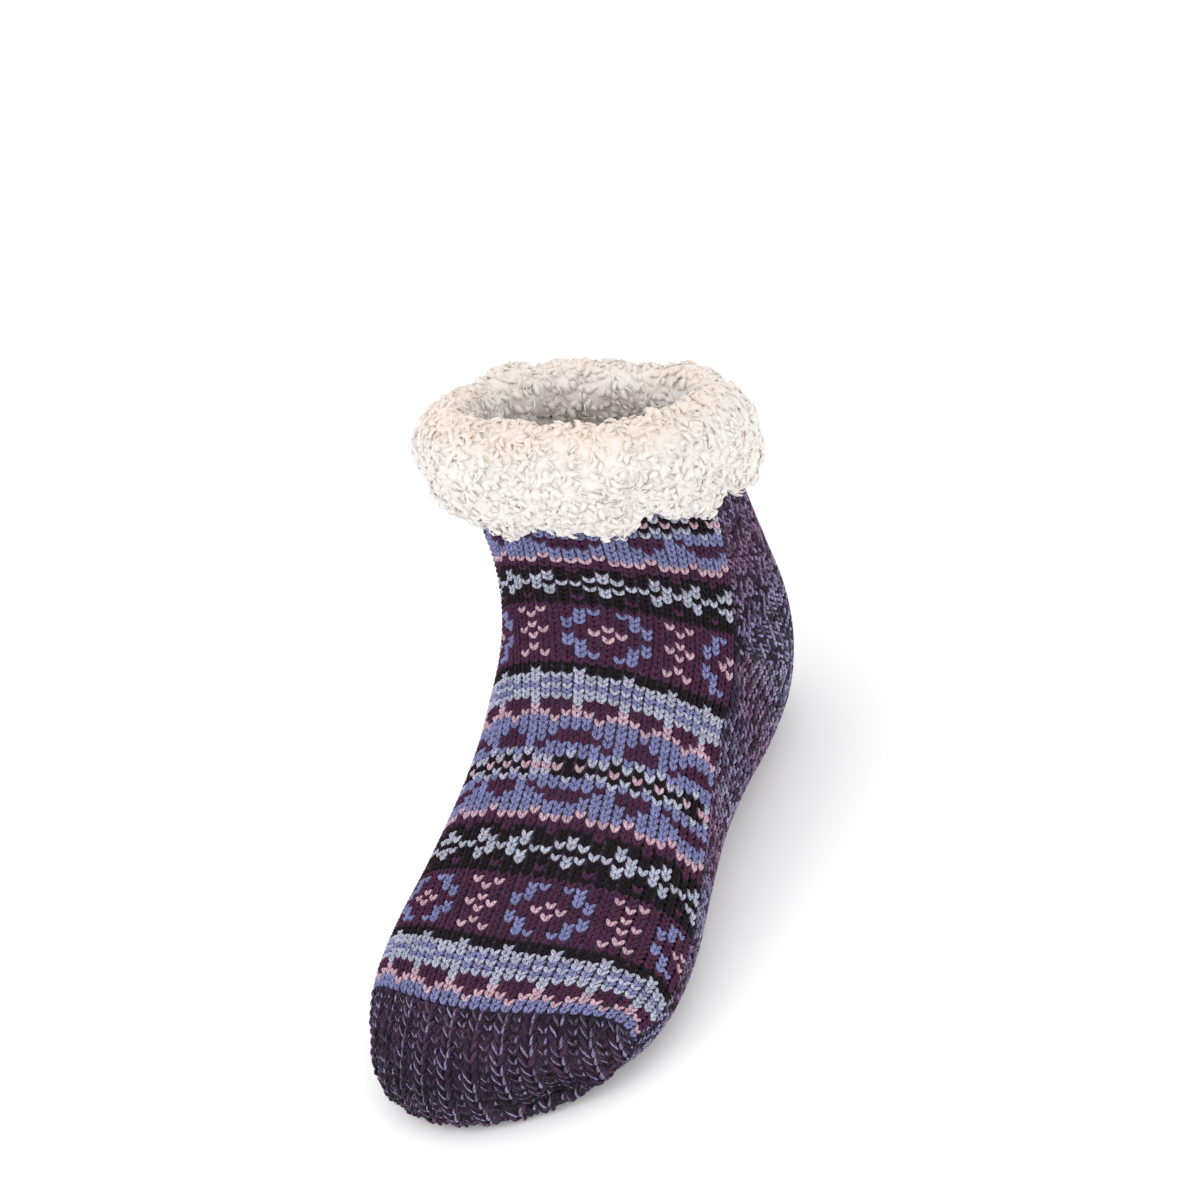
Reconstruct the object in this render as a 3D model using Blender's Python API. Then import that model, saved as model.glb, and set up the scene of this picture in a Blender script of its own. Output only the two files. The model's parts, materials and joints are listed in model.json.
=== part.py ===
"""A knitted ankle slipper sock, empty, standing on its sole: toe towards -Y, up +Z.

Left-foot form. Four subcomponents share one skin, a loft over SECTIONS. Each row of the
table is one ring of the sock, from the toe seam to the collar; the heel rings turn from
upright to level about the instep.
"""

import bpy
import bmesh
import numpy as np
from mathutils import Matrix

# Lengths are in metres.
LENGTH = 0.256
BALL_WIDTH = 0.108
HEEL_WIDTH = 0.084
INSTEP_HEIGHT = 0.078
COLLAR_HEIGHT = 0.176

WALL = 0.003
SEAM_GAP = 0.0003
RIB_COUNT = 26
RIB_DEPTH = 0.0009

CUFF_DROP = 0.034
CUFF_THICKNESS = 0.0122
LINING = 0.0056
CUFF_GAP = 0.0004
LOCK_COUNT = 150
LOCK_HEIGHT = 0.0026
LOCK_RADIUS = 0.0065
SCALLOP = 0.0022

# Exponents of the ring's upper and lower half: 2 is an ellipse, more is squarer.
UPPER_EXPONENT = 2.2
LOWER_EXPONENT = 2.8
TOE_CAP_END = 3.0
TOE_LINE_GAP = 0.036

# Each ring's sole and instep points, forward of the heel as shares of LENGTH and up as
# shares of the ring's height size; its half width and sideways shift as shares of its
# width size; how far up it is widest; how far its sides trail its middle, and its +X
# side its -X side, as shares of LENGTH; where the seam runs, from instep ridge to sole
# middle. The last two columns blend the sizes: heel from BALL_WIDTH to HEEL_WIDTH, and
# high from INSTEP_HEIGHT to COLLAR_HEIGHT.
COLUMNS = ("sole_fwd", "sole_up", "top_fwd", "top_up", "half_width", "shift",
           "widest", "bow", "skew", "seam", "heel", "high")
SECTIONS = (
    (0.9870, 0.0946, 0.9872, 0.0959, 0.255, -0.040, 0.50, 0.052, 0.022, 0.500, 0.00, 0.00),
    (0.9770, 0.0399, 0.9915, 0.2292, 0.315, -0.040, 0.50, 0.056, 0.018, 0.500, 0.00, 0.00),
    (0.9560, 0.0126, 0.9670, 0.3911, 0.392, -0.032, 0.46, 0.068, 0.000, 0.505, 0.00, 0.00),
    (0.9060, 0.0147, 0.9080, 0.5088, 0.463, -0.020, 0.44, 0.078, -0.018, 0.515, 0.00, 0.00),
    (0.8400, -0.0126, 0.8400, 0.5824, 0.494, -0.008, 0.41, 0.060, -0.024, 0.525, 0.00, 0.00),
    (0.7500, -0.0307, 0.7520, 0.6602, 0.500, 0.002, 0.39, 0.034, -0.020, 0.525, 0.00, 0.00),
    (0.6445, -0.0257, 0.6543, 0.7565, 0.506, 0.010, 0.38, 0.016, -0.014, 0.520, 0.25, 0.00),
    (0.5273, 0.0191, 0.5547, 0.8717, 0.508, 0.010, 0.39, 0.006, -0.008, 0.505, 0.60, 0.00),
    (0.4102, 0.0320, 0.4820, 1.0065, 0.510, 0.006, 0.41, 0.000, -0.003, 0.485, 0.90, 0.00),
    (0.2930, 0.0057, 0.4395, 1.0219, 0.505, 0.000, 0.42, 0.000, 0.000, 0.460, 1.00, 0.10),
    (0.1758, -0.0231, 0.4121, 1.0295, 0.496, 0.000, 0.42, 0.000, 0.000, 0.450, 1.00, 0.20),
    (0.0742, 0.0093, 0.3955, 0.9889, 0.492, 0.000, 0.43, 0.000, 0.000, 0.430, 1.00, 0.35),
    (0.0176, 0.1156, 0.3855, 0.9536, 0.492, 0.000, 0.44, 0.000, 0.000, 0.425, 1.00, 0.50),
    (0.0000, 0.2539, 0.3795, 0.9259, 0.494, 0.000, 0.45, 0.000, 0.000, 0.440, 1.00, 0.65),
    (0.0140, 0.3951, 0.3750, 0.9094, 0.499, 0.000, 0.47, 0.000, 0.000, 0.460, 1.00, 0.80),
    (0.0320, 0.5277, 0.3710, 0.9234, 0.509, 0.000, 0.49, 0.000, 0.000, 0.480, 1.00, 0.90),
    (0.0460, 0.6403, 0.3690, 0.9375, 0.519, 0.000, 0.50, 0.000, 0.000, 0.495, 1.00, 1.00),
    (0.0530, 0.7835, 0.3680, 1.0000, 0.527, 0.000, 0.50, 0.000, 0.000, 0.500, 1.00, 1.00),
)
LAST = len(SECTIONS) - 1

# The cuff's outline in one lengthwise cut, from its lower inner edge outward and round.
# rise is a share of CUFF_DROP from the knit's top edge, pile a share of CUFF_THICKNESS
# outward of the knit, wall a share of WALL and lining a share of LINING inward. The last
# two columns add the clearance outward and upward.
CUFF_COLUMNS = ("rise", "pile", "wall", "lining", "gap_out", "gap_up")
CUFF_OUTLINE = (
    (-0.88, 0.00, 0.0, 0.00, 1, 0), (-0.98, 0.27, 0.0, 0.00, 0, 0),
    (-0.93, 0.66, 0.0, 0.00, 0, 0), (-0.75, 0.89, 0.0, 0.00, 0, 0),
    (-0.54, 0.99, 0.0, 0.00, 0, 0), (-0.32, 1.00, 0.0, 0.00, 0, 0),
    (-0.12, 0.92, 0.0, 0.00, 0, 0), (0.07, 0.72, 0.0, 0.00, 0, 0),
    (0.20, 0.38, 0.0, 0.00, 0, 0), (0.25, 0.00, 0.3, 0.00, 0, 0),
    (0.20, 0.00, 1.0, 0.46, 0, 0), (0.05, 0.00, 1.0, 0.96, 0, 0),
    (-0.20, 0.00, 1.0, 1.00, 0, 0), (-0.28, 0.00, 1.0, 0.54, 0, 0),
    (-0.20, 0.00, 1.0, 0.00, -1, 0), (0.00, 0.00, 1.0, 0.00, -1, 1),
    (0.00, 0.00, 0.0, 0.00, 1, 1), (-0.30, 0.00, 0.0, 0.00, 1, 0),
    (-0.59, 0.00, 0.0, 0.00, 1, 0),
)
LOCKED_ROWS = range(1, 13)


def sections_at(t):
    """Rows of the table at the ring numbers t, on a curve through the listed rows."""
    table = np.array(SECTIONS)
    t = np.clip(np.asarray(t, float), 0, LAST)
    low = np.minimum(t.astype(int), LAST - 1)
    u = (t - low)[..., None]
    a = table[np.maximum(low - 1, 0)]
    b = table[low]
    c = table[low + 1]
    d = table[np.minimum(low + 2, LAST)]
    a = np.where((low == 0)[..., None], 2 * b - c, a)
    d = np.where((low == LAST - 1)[..., None], 2 * c - b, d)
    return 0.5 * (2 * b + (c - a) * u + (2 * a - 5 * b + 4 * c - d) * u ** 2
                  + (3 * b - a - 3 * c + d) * u ** 3)


def ring_points(t, angle):
    """Points of the outer skin at ring t and angle from the instep ridge, + towards +X."""
    row = dict(zip(COLUMNS, np.moveaxis(sections_at(t), -1, 0)))
    cos, sin = np.cos(angle), np.sin(angle)
    power = 2 / np.where(cos > 0, UPPER_EXPONENT, LOWER_EXPONENT)
    side = np.sign(sin) * np.abs(sin) ** power
    rise = np.abs(cos) ** power
    share = np.where(cos > 0, row["widest"] + (1 - row["widest"]) * rise,
                     row["widest"] * (1 - rise))
    forward = row["sole_fwd"] + (row["top_fwd"] - row["sole_fwd"]) * share
    forward = forward - row["bow"] * side ** 2 - row["skew"] * side
    up = row["sole_up"] + (row["top_up"] - row["sole_up"]) * share
    across = row["shift"] + row["half_width"] * side
    width = BALL_WIDTH + (HEEL_WIDTH - BALL_WIDTH) * row["heel"]
    height = INSTEP_HEIGHT + (COLLAR_HEIGHT - INSTEP_HEIGHT) * row["high"]
    return np.stack([across * width, (0.5 - forward) * LENGTH,
                     np.maximum(up * height, 0)], -1)


def skin(t, v):
    """Outer skin at ring numbers t by girth shares v: 0 on the ridge, +-1 under the sole.

    t holds one value per row, v one row of shares per value of t."""
    dense = np.linspace(0, np.pi, 361)
    rows = []
    for ring, shares in zip(t, v):
        halves = []
        for sign in (-1, 1):
            line = ring_points(np.full_like(dense, ring), sign * dense)
            run = np.r_[0, np.cumsum(np.linalg.norm(np.diff(line, axis=0), axis=1))]
            run /= run[-1]
            halves.append([np.interp(np.abs(shares), run, line[:, k]) for k in range(3)])
        left, right = np.moveaxis(np.array(halves), 1, -1)
        rows.append(np.where((shares < 0)[:, None], left, right))
    return np.array(rows)


def skin_normals(t, v):
    """Outward unit normals of the skin, from small steps along and around it."""
    step_t, step_v = 0.02, 0.004
    along = skin(np.minimum(t + step_t, LAST), v) - skin(np.maximum(t - step_t, 0), v)
    ring = np.maximum(t, 0.1)
    ahead, behind = [(v + s + 1) % 2 - 1 for s in (step_v, -step_v)]
    around = skin(ring, ahead) - skin(ring, behind)
    normal = np.cross(around, along)
    return normal / np.linalg.norm(normal, axis=-1, keepdims=True)


def mesh_object(name, points, faces, material):
    """A closed mesh object from shared points, with its faces turned outward."""
    made = bmesh.new()
    verts = [made.verts.new(p) for p in points]
    for face in faces:
        corners = [verts[k] for k in face]
        made.faces.new(corners)
    bmesh.ops.remove_doubles(made, verts=made.verts, dist=1e-6)
    bmesh.ops.dissolve_degenerate(made, edges=made.edges, dist=1e-6)
    bmesh.ops.recalc_face_normals(made, faces=made.faces)
    mesh = bpy.data.meshes.new(name)
    made.to_mesh(mesh)
    made.free()
    mesh.materials.append(material)
    mesh.shade_smooth()
    thing = bpy.data.objects.new(name, mesh)
    return thing


def grid_faces(rows, cols, base=0, closed=False, flip=False):
    faces = []
    for i in range(rows - 1):
        for j in range(cols if closed else cols - 1):
            k = (j + 1) % cols
            quad = (base + i * cols + j, base + i * cols + k,
                    base + (i + 1) * cols + k, base + (i + 1) * cols + j)
            faces.append(quad[::-1] if flip else quad)
    return faces


def wall_patch(name, t, v, material):
    """A patch of the sock's wall: outer face, inner face, and an edge all round."""
    outer = skin(t, v)
    inner = outer - WALL * skin_normals(t, v)
    rows, cols = v.shape
    count = rows * cols
    faces = grid_faces(rows, cols) + grid_faces(rows, cols, count, flip=True)
    rim = ([(0, j) for j in range(cols)] + [(i, cols - 1) for i in range(1, rows)]
           + [(rows - 1, j) for j in range(cols - 2, -1, -1)]
           + [(i, 0) for i in range(rows - 2, 0, -1)])
    loop = [i * cols + j for i, j in rim]
    for a, b in zip(loop, loop[1:] + loop[:1]):
        faces.append((a, b, count + b, count + a))
    points = np.concatenate([outer.reshape(-1, 3), inner.reshape(-1, 3)])
    return mesh_object(name, points, faces, material)


def seam_shares(t):
    return sections_at(t)[:, COLUMNS.index("seam")]


def half_gap(t):
    """Half the seam gap as a girth share, measured on each ring's half girth."""
    halves = skin(t, np.tile(np.linspace(0, 1, 41), (len(t), 1)))
    girth = np.linalg.norm(np.diff(halves, axis=1), axis=2).sum(axis=1)
    return 0.5 * SEAM_GAP / girth


def instep_panel(material):
    t = np.linspace(TOE_CAP_END + TOE_LINE_GAP, LAST, 29)
    edge = seam_shares(t) - half_gap(t)
    v = edge[:, None] * np.linspace(-1, 1, 21)[None, :]
    return wall_patch("instep_panel", t, v, material)


def sole_and_heel(material):
    t = np.linspace(TOE_CAP_END + TOE_LINE_GAP, LAST, 29)
    start = seam_shares(t) + half_gap(t)
    span = 2 * (1 - start)
    v = start[:, None] + span[:, None] * np.linspace(0, 1, 27)[None, :]
    return wall_patch("sole_and_heel", t, np.where(v > 1, v - 2, v), material)


def toe_cap(material):
    """The ribbed toe: a cup closed at the toe seam, its ribs raised on the outer face."""
    t = np.array([TOE_CAP_END, 2.6, 2.2, 1.8, 1.4, 0.95, 0.5, 0.0])
    cols = RIB_COUNT * 4
    v = np.tile(-1 + 2 * np.arange(cols) / cols, (len(t), 1))
    outer = skin(t, v)
    normals = skin_normals(t, v)
    fade = np.clip(t / 0.8, 0, 1)[:, None, None]
    wave = 0.5 - 0.5 * np.cos(np.pi * RIB_COUNT * (v[..., None] + 1))
    ribbed = outer + normals * RIB_DEPTH * fade * (wave - 0.5)
    inner = outer - WALL * normals
    inner[-1, :, 2] = outer[-1, :, 2]
    count = len(t) * cols
    faces = grid_faces(len(t), cols, closed=True)
    faces += grid_faces(len(t), cols, count, closed=True, flip=True)
    for j in range(cols):
        k = (j + 1) % cols
        faces.append((j, k, count + k, count + j))
    # The last ring is a flat line, so its upper and lower points meet in pairs.
    for grid in (ribbed, inner):
        for low in range(cols // 4 + 1):
            for a, b in ((low, cols // 2 - low), (cols // 2 + low, (cols - low) % cols)):
                grid[-1, a] = grid[-1, b] = 0.5 * (grid[-1, a] + grid[-1, b])
    points = np.concatenate([ribbed.reshape(-1, 3), inner.reshape(-1, 3)])
    return mesh_object("toe_cap", points, faces, material)


def cuff_outline():
    """Height above the knit's top edge and distance outward of it, row by row."""
    rise, pile, wall, lining, gap_out, gap_up = np.array(CUFF_OUTLINE).T
    outward = pile * CUFF_THICKNESS - wall * WALL - lining * LINING + gap_out * CUFF_GAP
    return np.stack([rise * CUFF_DROP + gap_up * CUFF_GAP, outward], axis=1)


def cuff(material):
    """The turned-down pile cuff: a ring of CUFF_OUTLINE with locks fused onto it."""
    cols = 72
    shares = -1 + 2 * np.arange(cols) / cols
    t = np.linspace(LAST, LAST - 7, 71)
    wall = skin(t, np.tile(shares, (len(t), 1)))
    out = skin_normals(t, np.tile(shares, (len(t), 1)))
    outline = cuff_outline()
    run = np.r_[0, np.cumsum(np.linalg.norm(np.diff(outline, axis=0), axis=1))]
    girth = np.linalg.norm(np.roll(wall[0], 1, axis=0) - wall[0], axis=1).sum()
    rng = np.random.default_rng(11)
    lock_v = rng.uniform(-1, 1, LOCK_COUNT)
    lock_run = rng.uniform(0, run[LOCKED_ROWS[-1]], LOCK_COUNT)
    lock_size = rng.uniform(0.45, 1.0, LOCK_COUNT)
    grid = np.zeros((len(outline), cols, 3))
    for j, share in enumerate(shares):
        depth = np.r_[0, np.cumsum(np.linalg.norm(np.diff(wall[:, j], axis=0), axis=1))]
        turn = np.pi * share
        scallop = SCALLOP * (np.sin(9 * turn + 0.6) + 0.6 * np.sin(17 * turn + 2.0))
        away = (share - lock_v + 1) % 2 - 1
        for i, (rise, outward) in enumerate(outline):
            rise += scallop * np.clip((-rise / CUFF_DROP - 0.35) / 0.53, 0, 1)
            if i in LOCKED_ROWS:
                near = (away * girth / 2) ** 2 + (run[i] - lock_run) ** 2
                lumps = (lock_size * np.exp(-2 * near / LOCK_RADIUS ** 2)).sum()
                along = outline[i + 1] - outline[i - 1]
                grow = LOCK_HEIGHT * (min(lumps, 1.15) - 0.35) / np.linalg.norm(along)
                rise, outward = rise - along[1] * grow, outward + along[0] * grow
            down = max(-rise, 0)
            foot = np.array([np.interp(down, depth, wall[:, j, k]) for k in range(3)])
            normal = np.array([np.interp(down, depth, out[:, j, k]) for k in range(3)])
            normal *= outward / np.linalg.norm(normal)
            grid[i, j] = foot + normal + np.array([0, 0, max(rise, 0)])
    rows = len(outline)
    faces = []
    for i in range(rows):
        for j in range(cols):
            k, m = (j + 1) % cols, (i + 1) % rows
            faces.append((i * cols + j, i * cols + k, m * cols + k, m * cols + j))
    return mesh_object("cuff", grid.reshape(-1, 3), faces, material)


def material(name, colour, roughness):
    made = bpy.data.materials.new(name)
    made.use_nodes = True
    shader = made.node_tree.nodes["Principled BSDF"]
    shader.inputs["Base Color"].default_value = (*colour, 1)
    shader.inputs["Roughness"].default_value = roughness
    made.diffuse_color = (*colour, 1)
    return made


for old in list(bpy.data.objects):
    bpy.data.objects.remove(old, do_unlink=True)

sock = bpy.data.collections.new("slipper_sock")
bpy.context.scene.collection.children.link(sock)
pieces = (
    instep_panel(material("patterned_knit", (0.13, 0.10, 0.19), 0.90)),
    toe_cap(material("ribbed_marl_knit", (0.09, 0.06, 0.12), 0.90)),
    sole_and_heel(material("marl_knit", (0.10, 0.07, 0.14), 0.90)),
    cuff(material("cream_pile", (0.86, 0.81, 0.74), 0.95)),
)
# The origin goes under the middle of the whole sock's box, on the floor.
corners = np.array([v.co for piece in pieces for v in piece.data.vertices])
middle = 0.5 * (corners.min(axis=0) + corners.max(axis=0))
for piece in pieces:
    piece.data.transform(Matrix.Translation((-middle[0], -middle[1], -corners[:, 2].min())))
    sock.objects.link(piece)
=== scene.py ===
"""Looks of a knitted ankle slipper sock: charted instep, marl sole and heel, ribbed toe,
curly pile cuff and lining. Toe towards -Y, up +Z, standing empty on a pale floor."""

import bpy
import math
import numpy as np
from mathutils import Matrix, Vector
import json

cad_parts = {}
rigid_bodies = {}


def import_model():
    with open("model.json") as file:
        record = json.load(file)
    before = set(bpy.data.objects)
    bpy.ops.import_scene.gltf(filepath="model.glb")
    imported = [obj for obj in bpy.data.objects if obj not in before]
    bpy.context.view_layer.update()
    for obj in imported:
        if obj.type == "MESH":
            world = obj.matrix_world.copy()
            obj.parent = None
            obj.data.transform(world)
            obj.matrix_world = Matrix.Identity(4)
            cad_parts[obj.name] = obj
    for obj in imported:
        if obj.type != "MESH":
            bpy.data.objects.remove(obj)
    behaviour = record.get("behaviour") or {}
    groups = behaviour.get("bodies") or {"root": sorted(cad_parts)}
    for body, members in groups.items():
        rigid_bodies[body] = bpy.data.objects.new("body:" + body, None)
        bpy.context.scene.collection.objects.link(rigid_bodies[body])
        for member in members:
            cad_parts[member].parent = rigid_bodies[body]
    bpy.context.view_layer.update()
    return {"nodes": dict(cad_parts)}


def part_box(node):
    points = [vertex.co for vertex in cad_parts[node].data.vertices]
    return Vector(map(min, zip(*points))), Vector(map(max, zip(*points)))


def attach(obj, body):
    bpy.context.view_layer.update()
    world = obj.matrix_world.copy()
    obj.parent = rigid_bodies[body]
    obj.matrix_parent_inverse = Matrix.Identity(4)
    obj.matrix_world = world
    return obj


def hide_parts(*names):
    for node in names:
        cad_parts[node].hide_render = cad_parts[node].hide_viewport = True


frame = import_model()
for thing in bpy.data.objects:
    thing.select_set(False)

MM = 0.001
LENGTH, BALL_WIDTH, HEEL_WIDTH = 256 * MM, 108 * MM, 84 * MM
INSTEP_HEIGHT, COLLAR_HEIGHT, WALL = 78 * MM, 176 * MM, 3 * MM
# How square the upper and the lower half of a ring are.
UPPER_EXPONENT, LOWER_EXPONENT = 2.2, 2.8
# Ribs round the toe, wales across the panel, the wale a rose stands on, and wales of marl.
RIB_COUNT, PANEL_WALES, ROSE_WALE, SOLE_WALES = 26, 32, 19, 38
ROW_PITCH = 2.6 * MM
# The slanted line on the heel, through this point, where the marl courses turn upward.
ANKLE_Y, ANKLE_Z, MITRE_SLOPE = 62 * MM, 60 * MM, -0.92
# The cuff's lower edge: its height at the front, where that is, how it falls behind, and how
# far above it the knit is left out.
HEM_Z, HEM_Y, HEM_SLOPE, HEM_COVER = 143 * MM, 20 * MM, -0.37, 9 * MM
# The fleece turns peachy over this span, in a band that slopes as the hem does. The peach is a
# tint that also stands in for the shade inside the collar.
PEACH_START, PEACH_SPAN = 178 * MM, 16 * MM
# How far at most the stitches under the sole stand out of it, pressed flat by the floor,
# which lies just below them.
PRESSED = 0.9 * MM
FLOOR_Z = -PRESSED - 0.1 * MM

# The sock's rings, as in its source: toe seam first, collar last.
COLUMNS = ("sole_fwd", "sole_up", "top_fwd", "top_up", "half_width", "shift",
           "widest", "bow", "skew", "seam", "heel", "high")
SECTIONS = (
    (0.9870, 0.0946, 0.9872, 0.0959, 0.255, -0.040, 0.50, 0.052, 0.022, 0.500, 0.00, 0.00),
    (0.9770, 0.0399, 0.9915, 0.2292, 0.315, -0.040, 0.50, 0.056, 0.018, 0.500, 0.00, 0.00),
    (0.9560, 0.0126, 0.9670, 0.3911, 0.392, -0.032, 0.46, 0.068, 0.000, 0.505, 0.00, 0.00),
    (0.9060, 0.0147, 0.9080, 0.5088, 0.463, -0.020, 0.44, 0.078, -0.018, 0.515, 0.00, 0.00),
    (0.8400, -0.0126, 0.8400, 0.5824, 0.494, -0.008, 0.41, 0.060, -0.024, 0.525, 0.00, 0.00),
    (0.7500, -0.0307, 0.7520, 0.6602, 0.500, 0.002, 0.39, 0.034, -0.020, 0.525, 0.00, 0.00),
    (0.6445, -0.0257, 0.6543, 0.7565, 0.506, 0.010, 0.38, 0.016, -0.014, 0.520, 0.25, 0.00),
    (0.5273, 0.0191, 0.5547, 0.8717, 0.508, 0.010, 0.39, 0.006, -0.008, 0.505, 0.60, 0.00),
    (0.4102, 0.0320, 0.4820, 1.0065, 0.510, 0.006, 0.41, 0.000, -0.003, 0.485, 0.90, 0.00),
    (0.2930, 0.0057, 0.4395, 1.0219, 0.505, 0.000, 0.42, 0.000, 0.000, 0.460, 1.00, 0.10),
    (0.1758, -0.0231, 0.4121, 1.0295, 0.496, 0.000, 0.42, 0.000, 0.000, 0.450, 1.00, 0.20),
    (0.0742, 0.0093, 0.3955, 0.9889, 0.492, 0.000, 0.43, 0.000, 0.000, 0.430, 1.00, 0.35),
    (0.0176, 0.1156, 0.3855, 0.9536, 0.492, 0.000, 0.44, 0.000, 0.000, 0.425, 1.00, 0.50),
    (0.0000, 0.2539, 0.3795, 0.9259, 0.494, 0.000, 0.45, 0.000, 0.000, 0.440, 1.00, 0.65),
    (0.0140, 0.3951, 0.3750, 0.9094, 0.499, 0.000, 0.47, 0.000, 0.000, 0.460, 1.00, 0.80),
    (0.0320, 0.5277, 0.3710, 0.9234, 0.509, 0.000, 0.49, 0.000, 0.000, 0.480, 1.00, 0.90),
    (0.0460, 0.6403, 0.3690, 0.9375, 0.519, 0.000, 0.50, 0.000, 0.000, 0.495, 1.00, 1.00),
    (0.0530, 0.7835, 0.3680, 1.0000, 0.527, 0.000, 0.50, 0.000, 0.000, 0.500, 1.00, 1.00),
)
LAST = len(SECTIONS) - 1
TOE_LINE = 3
# Rows of the skin's grid from one ring to the next, and its columns round the girth.
RING_STEPS, GIRTH = 24, 360
HALF = GIRTH // 2
TOE_ROW = TOE_LINE * RING_STEPS
# How far inside its ends a table is read at most.
EDGE = 0.001

# One repeat of the instep chart, cuff end first, 12 stitches from a rose's middle:
# P plum, K charcoal, B periwinkle, G pale grey, R rose pink.
CHART = (
    "GKKKGKKKGKKK", "GGKKGGKGGKKG", "KKGGKGGGKGGK", "GGKKGGKGGKKG", "GKKKGKKKGKKK",
    "KKPKKKPKKKPK", "KKKKKKKKKKKK", "PPPPPPPPPPPP",
    "PBBPPRPRPPBB", "PPBPPPRPPPBP", "PPBBPPPPPBBP", "RPPBPPRPPBPP", "PRPPPRPRPPPR",
    "RPPBPPRPPBPP", "PPBBPPPPPBBP", "PPBPPPRPPPBP", "PBBPPRPRPPBB",
    "PPPPPPPPPPPP", "KKKKKKKKKKKK", "KKGKKKGKKKGK",
    "GGGGGGGGGGGG", "GBBBGGGBBBGG", "BGGGBBBGGGBB", "GBBBGGGBBBGG", "GGGGGGGGGGGG",
    "PPGPPPGPPPGP", "PPRPPPRPPPRP", "PRRRPRRRPRRR", "RBBBRBBBRBBB", "BBBBBBBBBBBB",
    "BBBBPBBBBPPP", "PBBPPPBBPPPP", "BPBPPPBPBBBB",
    "BBGBGBGBBBGB", "GGKGKGKGGKKK", "KKRKRKRKKRKR", "GGKGKGKGGKKK", "BBGBGBGBBBGB",
    "BPBPPPBPBBBB", "PBBPPPBBPPPP", "BBBBPBBBBPPP",
    "BBBBBBBBBBBB", "RBBBRBBBRBBB", "PRRRPRRRPRRR", "PPPPPPPPPPPP", "KKPKKKPKKKPK",
)
# Stitches of the braid's middle row that are rose pink as well, by wale.
BRAID_ROW, BRAID_ROSE = 35, (14, 15, 31)
# Chart rows counted towards the toe from the upper zigzag: the panel's first and last, and
# the first on its lower piece.
FIRST_ROW, LAST_ROW, LOWER_ROW = -27, 75, 24
# Some of those rows, and the ring that each lies on at the ridge.
ROW_MARKS = (-27.0, -7.5, 2.0, 18.5, 35.0, 48.0, 58.0, 64.5, 70.0, 75.5)
RING_MARKS = (17.0, 13.66, 11.92, 9.16, 7.16, 5.94, 5.02, 4.38, 3.80, 3.0)
# How many rings further on a row lies by the side seam than at the ridge.
BEND_RINGS = (3.0, 4.85, 5.88, 7.37, 9.30, 11.91, 17.0)
BEND = (0.0, 0.28, 0.30, 0.42, 0.38, 0.15, 0.0)

YARNS = {
    "P": (0.076, 0.022, 0.060), "K": (0.013, 0.008, 0.012), "B": (0.225, 0.235, 0.445),
    "G": (0.460, 0.475, 0.590), "R": (0.600, 0.400, 0.480),
}


def sections_at(t):
    """The table's columns at rings t, on smooth curves through its rows."""
    table = np.array(SECTIONS)
    t = np.clip(np.asarray(t, float), 0, LAST)
    low = np.minimum(t.astype(int), LAST - 1)
    u = (t - low)[..., None]
    a, b = table[np.maximum(low - 1, 0)], table[low]
    c, d = table[low + 1], table[np.minimum(low + 2, LAST)]
    a = np.where((low == 0)[..., None], 2 * b - c, a)
    d = np.where((low == LAST - 1)[..., None], 2 * c - b, d)
    return 0.5 * (2 * b + (c - a) * u + (2 * a - 5 * b + 4 * c - d) * u ** 2
                  + (3 * b - a - 3 * c + d) * u ** 3)


def ring_points(t, angle):
    """Points of the rings t at angles from the top of the girth, before the skin's shift."""
    row = dict(zip(COLUMNS, np.moveaxis(sections_at(t), -1, 0)))
    cos, sin = np.cos(angle), np.sin(angle)
    power = 2 / np.where(cos > 0, UPPER_EXPONENT, LOWER_EXPONENT)
    side = np.sign(sin) * np.abs(sin) ** power
    rise = np.abs(cos) ** power
    share = np.where(cos > 0, row["widest"] + (1 - row["widest"]) * rise,
                     row["widest"] * (1 - rise))
    forward = row["sole_fwd"] + (row["top_fwd"] - row["sole_fwd"]) * share
    forward = forward - row["bow"] * side ** 2 - row["skew"] * side
    up = row["sole_up"] + (row["top_up"] - row["sole_up"]) * share
    across = row["shift"] + row["half_width"] * side
    width = BALL_WIDTH + (HEEL_WIDTH - BALL_WIDTH) * row["heel"]
    height = INSTEP_HEIGHT + (COLLAR_HEIGHT - INSTEP_HEIGHT) * row["high"]
    return np.stack([across * width, (0.5 - forward) * LENGTH,
                     np.maximum(up * height, 0)], -1)


def skin_grid():
    """Skin points and outward normals, from the sole's middle round to it again."""
    dense = np.linspace(0, np.pi, GIRTH + 1)
    shares = np.linspace(0, 1, HALF + 1)
    rings = np.linspace(0, LAST, RING_STEPS * LAST + 1)
    points = np.zeros((len(rings), GIRTH + 1, 3))
    for i, ring in enumerate(rings):
        for sign in (-1, 1):
            line = ring_points(np.full_like(dense, ring), sign * dense)
            run = np.r_[0, np.cumsum(np.linalg.norm(np.diff(line, axis=0), axis=1))]
            half = np.stack([np.interp(shares, run / run[-1], line[:, k]) for k in range(3)], -1)
            if sign < 0:
                points[i, :HALF + 1] = half[::-1]
            else:
                points[i, HALF:] = half
    along = np.gradient(points, axis=0)
    around = points[:, np.r_[1:GIRTH + 1, 1]] - points[:, np.r_[GIRTH - 1, 0:GIRTH]]
    around[:2] = around[2]
    normal = np.cross(around, along)
    normal /= np.linalg.norm(normal, axis=-1, keepdims=True) + 1e-12
    return points, normal


def seam_at(t):
    """Girth share of the seam between the panel and the sole or heel at rings t."""
    rings = np.linspace(0, LAST, 4 * LAST + 1)
    return np.interp(t, rings, sections_at(rings)[:, COLUMNS.index("seam")])


SHARES = np.linspace(-1, 1, GIRTH + 1)
SKIN, NORMAL = skin_grid()


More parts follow.
